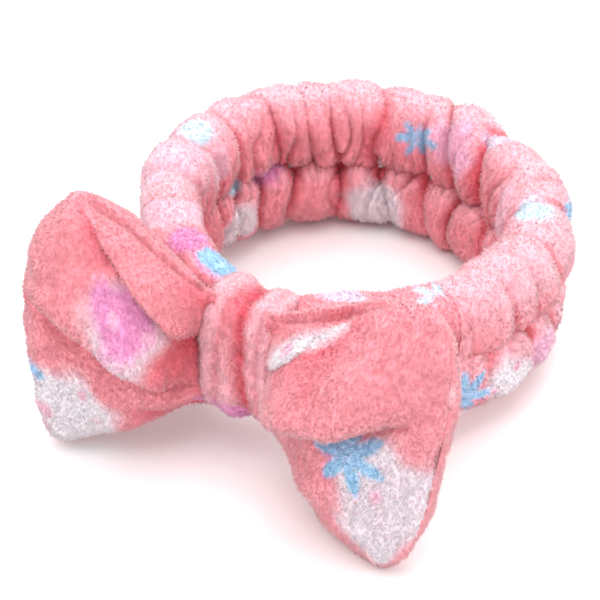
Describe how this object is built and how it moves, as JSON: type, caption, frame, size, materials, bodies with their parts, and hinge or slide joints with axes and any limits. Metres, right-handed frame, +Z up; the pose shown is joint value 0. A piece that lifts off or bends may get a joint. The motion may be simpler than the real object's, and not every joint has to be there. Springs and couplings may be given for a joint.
{
  "type": "spa headband",
  "caption": "Plush fleece spa headband: smooth front band, elastic gathered sleeve round the back and a large bow with a wrapped knot.",
  "frame": {"origin": "middle of the head opening, on the plane that the rear edge and the bow's two lower corners rest on", "axes": "+Z up along the head opening, -Y the way the bow faces, +X to the right when looking along +Y at the bow"},
  "size_m": [0.1727, 0.1951, 0.0969],
  "materials": {
    "fleece": "coral fleece pile, soft and matte, with a printed pattern",
    "filling": "loose white polyester fibre",
    "elastic": "woven white elastic tape",
    "thread": "pink polyester sewing thread"
  },
  "bodies": {
    "front": {"front_band_outer": "fleece", "front_band_lining": "fleece", "front_top_seam": "thread", "front_bottom_seam": "thread", "left_side_seam": "thread", "right_side_seam": "thread", "elastic_end_tacks": "thread", "knot_wrap": "fleece", "knot_wrap_seam": "thread", "bow_waist": "fleece", "waist_binding": "thread", "knot_tack_stitches": "thread"},
    "rear": {"gathered_sleeve": "fleece", "elastic_band": "elastic", "stitch_line_outer": "thread", "stitch_line_inner": "thread", "sleeve_tube_seam": "thread"},
    "left_wing": {"left_wing_front": "fleece", "left_wing_back": "fleece", "left_wing_filling": "filling", "left_wing_edge_seam": "thread"},
    "right_wing": {"right_wing_front": "fleece", "right_wing_back": "fleece", "right_wing_filling": "filling", "right_wing_edge_seam": "thread"}
  },
  "joints": [
    {"name": "band_stretch", "type": "slide", "parent": "front", "child": "rear", "axis": [0, 1, 0], "range_m": [0, 0.08], "stiffness_N_per_m": 100, "deforming": ["gathered_sleeve", "elastic_band", "stitch_line_outer", "stitch_line_inner", "sleeve_tube_seam"]},
    {"name": "left_wing_bend", "type": "hinge", "parent": "front", "child": "left_wing", "pos_m": [-0.0217, -0.07776, 0.04125], "axis": [0, 0, 1], "range_deg": [-20, 35], "stiffness_Nm_per_rad": 0.02},
    {"name": "right_wing_bend", "type": "hinge", "parent": "front", "child": "right_wing", "pos_m": [0.0217, -0.07776, 0.04125], "axis": [0, 0, -1], "range_deg": [-20, 35], "stiffness_Nm_per_rad": 0.02}
  ]
}
